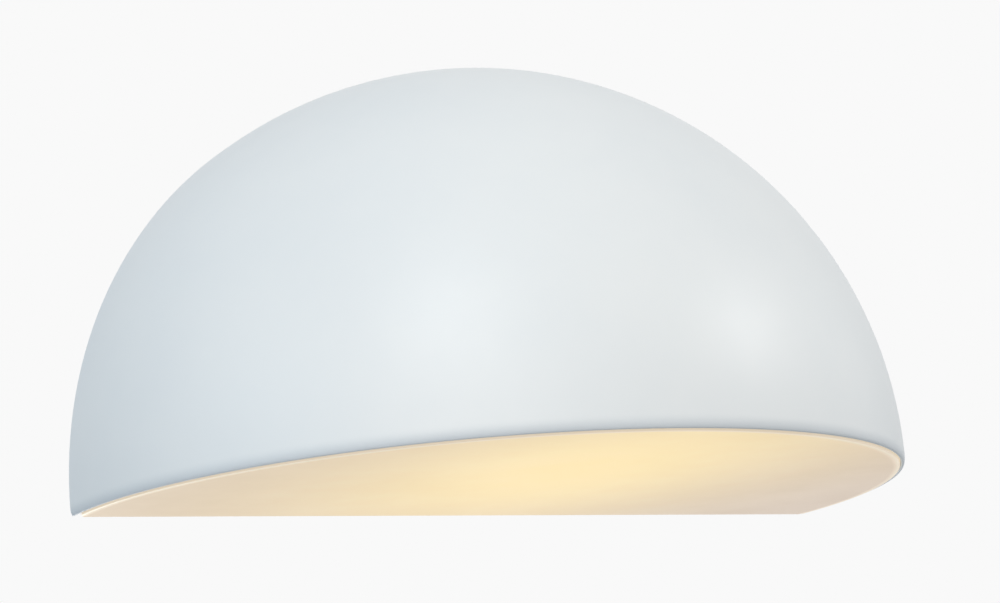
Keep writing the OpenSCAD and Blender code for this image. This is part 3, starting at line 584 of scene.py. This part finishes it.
globe = bmesh.new()
turn(globe, globe_side(0)[::-1] + globe_side(glass_t), 96, closed=False)
place(globe, on_lamp)


def clear_glass(name, tint, roughness):
    """Clear glass, whose skin is a little uneven."""
    return finish(name, tint, "#FFFFFF", patch=12, roughness=roughness, grain=6, depth=0.02,
                  Transmission_Weight=1.0, IOR=1.47)


# Blown soda-lime glass: clear and very slightly grey, with gentle waves from the blowing.
blown_glass = clear_glass("Blown soda-lime glass", "#F7FAFA", (0.0, 0.02))
pressed_glass = clear_glass("Pressed stem glass", "#F1F5F4", (0.01, 0.04))
fit("blown_globe", globe, "lamp", blown_glass, "clear_glass", "lamp_globe")

stem = bmesh.new()
turn(stem, [(0, 25), (8.6, 25), (9, 25.3), (8.8, 25.9), (6, 27.6), (4.2, 29.6), (3.1, 32),
            (2.5, 35), (2.4, 38.6), (2, 39.6), (1.2, 40), (0, 40)], 48, closed=False)
place(stem, on_lamp)
fit("pressed_stem", stem, "lamp", pressed_glass, "clear_glass", "lamp_stem")

# Filaments: yellow phosphor over rows of small emitters, lit warm.
phosphor = finish("Lit phosphor", "#F6C562", "#EFB94F", patch=1.2, roughness=(0.5, 0.65), grain=0.6,
                  depth=0.03, Emission_Color=linear("#FFC878"), Emission_Strength=4.0)
machined("lamp_leads_and_post", "lamp_leads", "lamp", nickel, "nickel", edge=0.05)
machined("four_filaments", "lamp_filaments", "lamp", phosphor, "phosphor", edge=0.6)

# --- Diffuser ---------------------------------------------------------------------------------
# Tray moulded from opal acrylic. Its rounded face fills the opening and stands a little out of
# it, a step rests on the shade's hem, and a rib stiffens it along the wall.

band_d = 7
face_r, step_r, step_in = 143, 143.8, 138.8
face_low, sheet_top, step_low, step_top = -0.5, 1.5, 1.8, 3.4
back_gap = 1.3
face_edge, step_edge, rear_edge, rib_edge = 0.5, 0.4, 0.4, 0.4
corner_x, corner_y, corner_r, corner_cut = 138.9, -6.2, 4.8, 9
rib_half, rib_t, rib_inset, rib_low, rib_top = 137, 2, 0.1, 1, 7.5
over = 2


def half_turn(bm, section, steps=96):
    """Turns an open section (radius, height) half round and gives back its open edges."""
    drawn = line_up(bm, [(r, -band_d, rim_z + h) for r, h in section])
    bmesh.ops.spin(bm, geom=drawn, cent=(0, -band_d * MM, 0), axis=(0, 0, 1), angle=-math.pi,
                   steps=steps, use_merge=False)
    bmesh.ops.remove_doubles(bm, verts=bm.verts, dist=0.002 * MM)
    return [e for e in bm.edges if e.is_boundary]


def draw_back(bm, edges, back, edge, segments=2):
    """Draws open edges straight back to the plane y = -back, closes them and rounds the rim."""
    made = bmesh.ops.extrude_edge_only(bm, edges=edges)["geom"]
    verts = [v for v in made if isinstance(v, bmesh.types.BMVert)]
    bmesh.ops.translate(bm, vec=(0, (band_d - back) * MM, 0), verts=verts)
    rear = [e for e in edges_of(made) if all(v in verts for v in e.verts)]
    bmesh.ops.edgeloop_fill(bm, edges=rear)
    close_up(bm)
    around = [e for e in bm.edges if all(abs(v.co.y + back * MM) < 0.01 * MM for v in e.verts)
              and e.calc_face_angle(0) > 1]
    bmesh.ops.bevel(bm, geom=around, offset=edge * MM, offset_type="OFFSET", segments=segments,
                    profile=0.5, affect="EDGES", clamp_overlap=True, material=-1)
    cap_face = max(bm.faces, key=lambda f: len(f.verts))
    bmesh.ops.triangulate(bm, faces=[cap_face])


tray = bmesh.new()
section = ([(0, face_low)] + arc((face_r - face_edge, face_low + face_edge), face_edge, 270, 360, 6)
           + [(face_r, step_low), (step_r - step_edge / 2, step_low)]
           + [(step_r, step_low + step_edge / 2)]
           + arc((step_r - step_edge, step_top - step_edge), step_edge, 0, 90, 4)
           + arc((step_in + step_edge, step_top - step_edge), step_edge, 90, 180, 4)
           + [(step_in, sheet_top), (0, sheet_top)])
draw_back(tray, half_turn(tray, section), back_gap, rear_edge)
rib = bmesh.new()
bmesh.ops.create_cube(rib, size=1, matrix=Matrix.LocRotScale(
    Vector((0, -(back_gap + rib_inset + rib_t / 2), rim_z + (rib_low + rib_top) / 2)) * MM, None,
    Vector((2 * rib_half, rib_t - 2 * rib_inset, rib_top - rib_low)) * MM))
soften(rib, rib_edge)
tray = carve(tray, rib, "UNION")
for side in (-1, 1):
    corner = bmesh.new()
    cut = arc((corner_x, corner_y), corner_r, 0, 90, 8)
    cut += [(corner_x, over), (step_r + over, over), (step_r + over, corner_y)]
    drawn = [corner.verts.new(Vector((side * x, y, rim_z - over)) * MM) for x, y in cut]
    face = bmesh.ops.contextual_create(corner, geom=drawn)
    raised = bmesh.ops.extrude_face_region(corner, geom=face["faces"])["geom"]
    bmesh.ops.translate(corner, vec=(0, 0, corner_cut * MM),
                        verts=[v for v in raised if isinstance(v, bmesh.types.BMVert)])
    tray = carve(tray, corner)

# Opal acrylic: a satin skin over milky plastic. The light of the lamp behind it is painted
# into its emission: a warm pool in the middle that fades to a peach grey, painted cooler on the
# right, and a painted pale line of light along the round edge.
opal = finish("Opal acrylic with painted lamp glow", "#B3A99C", "#ABA194", patch=60, roughness=(0.30, 0.38), grain=1.5,
              depth=0.004, Subsurface_Weight=0.0, Specular_IOR_Level=0.4)
# Painted light: these numbers place the lamp's pool, the cooler side and the edge line.
pool_x, pool_y = -10.7, -86.9
pool_w, pool_d = 58, 84
cool_left, cool_right = -100, 130
line_in, line_out = 140.5, 142.5
pool_glow, edge_glow = "#D5BB77", "#BEAF98"
left_glow, right_glow = "#9B8465", "#9A8674"
shader = opal.node_tree.nodes["Principled BSDF"]
seen_at = add_node(opal, "ShaderNodeTexCoord").outputs["Object"]
from_pool = add_node(opal, "ShaderNodeMapping", {
    "Location": (-pool_x / pool_w, -pool_y / pool_d, 0),
    "Scale": (1 / (pool_w * MM), 1 / (pool_d * MM), 0)}, {"Vector": seen_at}).outputs["Vector"]
spread = add_node(opal, "ShaderNodeVectorMath", links={0: from_pool, 1: from_pool},
                  operation="DOT_PRODUCT").outputs["Value"]
fall = add_node(opal, "ShaderNodeMath", {1: -0.5}, {0: spread}, operation="MULTIPLY").outputs[0]
pool = add_node(opal, "ShaderNodeMath", links={0: fall}, operation="EXPONENT").outputs[0]
across = add_node(opal, "ShaderNodeSeparateXYZ", links={0: seen_at}).outputs["X"]
rightward = add_node(opal, "ShaderNodeMapRange",
                     {"From Min": cool_left * MM, "From Max": cool_right * MM},
                     {"Value": across}).outputs["Result"]
from_axis = add_node(opal, "ShaderNodeMapping", {"Location": (0, band_d * MM, 0),
                                                 "Scale": (1, 1, 0)},
                     {"Vector": seen_at}).outputs["Vector"]
out = add_node(opal, "ShaderNodeVectorMath", links={0: from_axis}, operation="LENGTH")
painted_edge_line = add_node(opal, "ShaderNodeMapRange",
                      {"From Min": line_in * MM, "From Max": line_out * MM},
                      {"Value": out.outputs["Value"]}).outputs["Result"]
glow = add_node(opal, "ShaderNodeMix", {6: linear(left_glow), 7: linear(right_glow)},
                {0: rightward}, data_type="RGBA").outputs[2]
for colour, share in ((pool_glow, pool), (edge_glow, painted_edge_line)):
    glow = add_node(opal, "ShaderNodeMix", {7: linear(colour)}, {0: share, 6: glow},
                    data_type="RGBA").outputs[2]
# The diffuser's glow is painted light, laid on as emission.
opal.node_tree.links.new(glow, shader.inputs["Emission Color"])
shader.inputs["Emission Strength"].default_value = 1.0
fit("opal_tray", tray, "shade_unit", opal, "opal", "diffuser", sharp=40)

# --- Clips ------------------------------------------------------------------------------------
# Bent steel clips on studs welded to the shade, each held by a nut. Their feet press the tray
# down on the hem.

machined("welded_studs", "clip_studs", "shade_unit", zinc, "zinc", edge=0.2)
machined("spring_clips", "diffuser_clips", "shade_unit", galvanised, "zinc", edge=0.2)
machined("stud_nuts", "clip_nuts", "shade_unit", zinc, "zinc", edge=0.3)

# --- Shade ------------------------------------------------------------------------------------
# Quarter sphere pressed from 0.9 mm steel, with a straight band at the wall, a short skirt and
# a hem rolled in round the opening. The slot at its top slides under the locking screw.

shade_r, shade_steel, hem_r = 145, 0.9, 0.9
inner_r = shade_r - shade_steel
lead_in, band_edge = 3.5, 0.3
slot_half, slot_cut = 2.3, 8

hood = bmesh.new()
# The pressed edge draws in a little before the hem.
drawn_in = [(inner_r + hem_r * math.sin(math.radians(a)), lead_in * (1 - math.cos(math.radians(a))))
            for a in range(10, 91, 10)]
section = (arc((0, skirt_h), inner_r, 90, 0, 48) + arc((inner_r, hem_r), hem_r, 90, 270, 12)
           + drawn_in + arc((0, skirt_h), shade_r, 0, 90, 48))
draw_back(hood, half_turn(hood, section), 0, band_edge)
top = rim_z + skirt_h + shade_r
slot_cutter = bmesh.new()
bmesh.ops.create_cone(slot_cutter, cap_ends=True, segments=48, radius1=slot_half * MM,
                      radius2=slot_half * MM, depth=slot_cut * MM,
                      matrix=Matrix.Translation(Vector((0, lock_y, top)) * MM))
hood = carve(hood, slot_cutter)
slot_cutter = bmesh.new()
bmesh.ops.create_cube(slot_cutter, size=1, matrix=Matrix.LocRotScale(
    Vector((0, (lock_y + over) / 2, top)) * MM, None,
    Vector((2 * slot_half, over - lock_y, slot_cut)) * MM))
hood = carve(hood, slot_cutter)

# Satin white powder coat: a cool white, faintly dimpled like orange peel, which spreads the
# lamps of the room into wide soft highlights. Along the drawn-in edge it is greyed by painted
# shade, where the steel turns under.
shade_coat = finish("Satin white powder coat with painted rim shade", "#EDEFEE", "#E9ECEC", patch=70,
                    roughness=(0.40, 0.46), grain=1.1, depth=0.006, Specular_IOR_Level=0.5)
# Painted shade: the coat turns grey over the lowest 5 mm above the rim.
painted_shade_low, painted_shade_high = rim_z - 0.5, rim_z + 4.5
shader = shade_coat.node_tree.nodes["Principled BSDF"]
full = shader.inputs["Base Color"].links[0].from_socket
seen_at = add_node(shade_coat, "ShaderNodeTexCoord").outputs["Object"]
height = add_node(shade_coat, "ShaderNodeSeparateXYZ", links={0: seen_at}).outputs["Z"]
painted_shade_mix = add_node(shade_coat, "ShaderNodeMapRange",
                {"From Min": painted_shade_high * MM, "From Max": painted_shade_low * MM}, {"Value": height},
                interpolation_type="SMOOTHSTEP").outputs["Result"]
# edge is the coat with the painted shade mixed in.
edge = add_node(shade_coat, "ShaderNodeMix", {7: linear("#D6DBDE")}, {0: painted_shade_mix, 6: full},
                data_type="RGBA").outputs[2]
shade_coat.node_tree.links.new(edge, shader.inputs["Base Color"])
fit("pressed_shade", hood, "shade_unit", shade_coat, "shade_white", "shade", sharp=40)

# --- Locking screw ----------------------------------------------------------------------------
# Knurled M4 screw with a coin slot and a loose washer. It clamps the shade's slot to the weld
# nut, and lets the shade slide off when it is raised.

head_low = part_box("lock_washer")[1].z / MM
head_r, head_h, head_edge, foot_edge = 4.5, 3.2, 0.6, 0.4
knurls, knurl_d = 40, 0.35
coin_w, coin_d = 1.2, 1.2
lock_thread_r, lock_thread_d, lock_pitch, lock_reach = 1.95, 0.4, 0.7, 8

head = bmesh.new()
turn(head, [(0, 0), (head_r - foot_edge, 0), (head_r, foot_edge), (head_r, head_h - head_edge),
            (head_r - head_edge, head_h), (0, head_h)], 2 * knurls, closed=False)
close_up(head)
for v in head.verts:
    angle = math.degrees(math.atan2(v.co.y, v.co.x)) % (360 / knurls)
    in_groove = abs(angle - 180 / knurls) < 90 / knurls
    if in_groove and v.co.xy.length > (head_r - 0.1) * MM:
        v.co.xy *= 1 - knurl_d / head_r
coin = bmesh.new()
bmesh.ops.create_cube(coin, size=1, matrix=Matrix.LocRotScale(
    Vector((0, 0, head_h)) * MM, None, Vector((3 * head_r, coin_w, 2 * coin_d)) * MM))
head = carve(head, coin)
shank = bmesh.new()
rolled_thread(shank, lock_thread_r, lock_thread_d, lock_pitch, -lock_reach, 0.05, steps=24,
              points=4)
bmesh.ops.holes_fill(shank, edges=[e for e in shank.edges if e.is_boundary])
head = carve(head, shank, "UNION")
place(head, Matrix.Translation(Vector((0, lock_y, head_low)) * MM))
fit("knurled_lock_screw", head, "screw", nickel, "nickel", "lock_screw")
machined("lock_screw_washer", "lock_washer", "screw_washer", zinc, "zinc", edge=0.12)

# --- Studio -----------------------------------------------------------------------------------
# Plain pale floor below the light, in a pale room with large windows: daylight from the front,
# cooler from the left, and plain from the right and from low behind. Two small lamps give the
# satin coat its highlights. The camera stands below the light, as in the photo.

room_light, background = "#8E979F", "#F9F9F9"
floor_z, floor_half = -1.6, 15


def paler_to_the_eye(owner, lit, seen):
    """Mixes a colour that lights the object with the one that the camera and gloss see."""
    path = add_node(owner, "ShaderNodeLightPath").outputs
    either = add_node(owner, "ShaderNodeMath", links={0: path["Is Camera Ray"],
                                                      1: path["Is Glossy Ray"]},
                      operation="MAXIMUM").outputs[0]
    either = add_node(owner, "ShaderNodeMath", links={0: either, 1: path["Is Transmission Ray"]},
                      operation="MAXIMUM").outputs[0]
    return add_node(owner, "ShaderNodeMix", {6: lit, 7: seen}, {0: either},
                    data_type="RGBA").outputs[2]


world = bpy.data.worlds.new("Pale room")
world.use_nodes = True
bpy.context.scene.world = world
sky = paler_to_the_eye(world, linear(room_light), linear(background))
world.node_tree.links.new(sky, world.node_tree.nodes["Background"].inputs["Color"])

floor_mesh = bpy.data.meshes.new("floor")
floor_bm = bmesh.new()
bmesh.ops.create_grid(floor_bm, x_segments=1, y_segments=1, size=floor_half,
                      matrix=Matrix.Translation((0, 0, floor_z)))
floor_bm.to_mesh(floor_mesh)
floor_bm.free()
floor = bpy.data.objects.new("floor", floor_mesh)
bpy.context.scene.collection.objects.link(floor)
matt = finish("Pale matt floor", "#CFCFCE", "#CBCBCA", patch=400, roughness=(0.7, 0.8), grain=3,
              depth=0.05)
unlit, white = linear("#000000"), linear("#FFFFFF")
matt_shader = matt.node_tree.nodes["Principled BSDF"]
matt.node_tree.links.new(paler_to_the_eye(matt, unlit, white), matt_shader.inputs["Emission Color"])
matt_shader.inputs["Emission Strength"].default_value = 0.5
floor_mesh.materials.append(matt)


def soft_lamp(name, aim, direction, distance, size, level, colour):
    """An area lamp that stands off in a direction from a point and faces it. Level is the share
    of white that it gives a white face turned to it."""
    data = bpy.data.lights.new(name, "AREA")
    data.shape, data.size, data.color = "DISK", size, linear(colour)[:3]
    data.energy = level * math.pi ** 2 * (distance ** 2 + size ** 2 / 4)
    lamp = bpy.data.objects.new(name, data)
    lamp.location = Vector(aim) + Vector(direction).normalized() * distance
    lamp.rotation_euler = Vector(direction).to_track_quat("Z", "Y").to_euler()
    bpy.context.scene.collection.objects.link(lamp)


middle = (0, -0.08, 0)
soft_lamp("key", (-0.076, -0.126, -0.036), (-0.438, -0.642, 0.630), 1.5, 0.5, 0.225, "#FFFEFB")
soft_lamp("side", (0.013, -0.149, -0.045), (0.715, -0.550, 0.432), 1.5, 0.3, 0.148, "#FFFFFF")
soft_lamp("front window", middle, (-0.52, -0.83, 0.22), 2.5, 2, 0.375, "#FFF6EE")
soft_lamp("left window", middle, (-1, -0.15, 0.15), 2, 1.8, 0.125, "#98D6FF")
soft_lamp("right window", middle, (1, -0.2, 0.15), 2, 1.8, 0.11, "#FFFFFF")
soft_lamp("back window", (0, 0, 0), (0, 0.85, -0.5), 2, 1.2, 0.3, "#FFFFFF")

# The focal length, the angles and the place were found by fitting the shade to the photo.
photo_w, sensor_w = 1000, 36
focal_px = 2533.7
stands_at = (-0.4431, -0.7419, -0.2000)
view_azimuth, view_elevation, view_roll = 32.01, 12.96, -5.28
camera_data = bpy.data.cameras.new("camera")
camera_data.sensor_width = sensor_w
camera_data.lens = focal_px * sensor_w / photo_w
camera = bpy.data.objects.new("camera", camera_data)
turned = (Matrix.Rotation(math.radians(-view_azimuth), 4, "Z")
          @ Matrix.Rotation(math.radians(90 + view_elevation), 4, "X")
          @ Matrix.Rotation(math.radians(view_roll), 4, "Z"))
camera.matrix_world = Matrix.Translation(stands_at) @ turned
bpy.context.scene.collection.objects.link(camera)
bpy.context.scene.camera = camera
bpy.context.scene.view_settings.view_transform = "Standard"
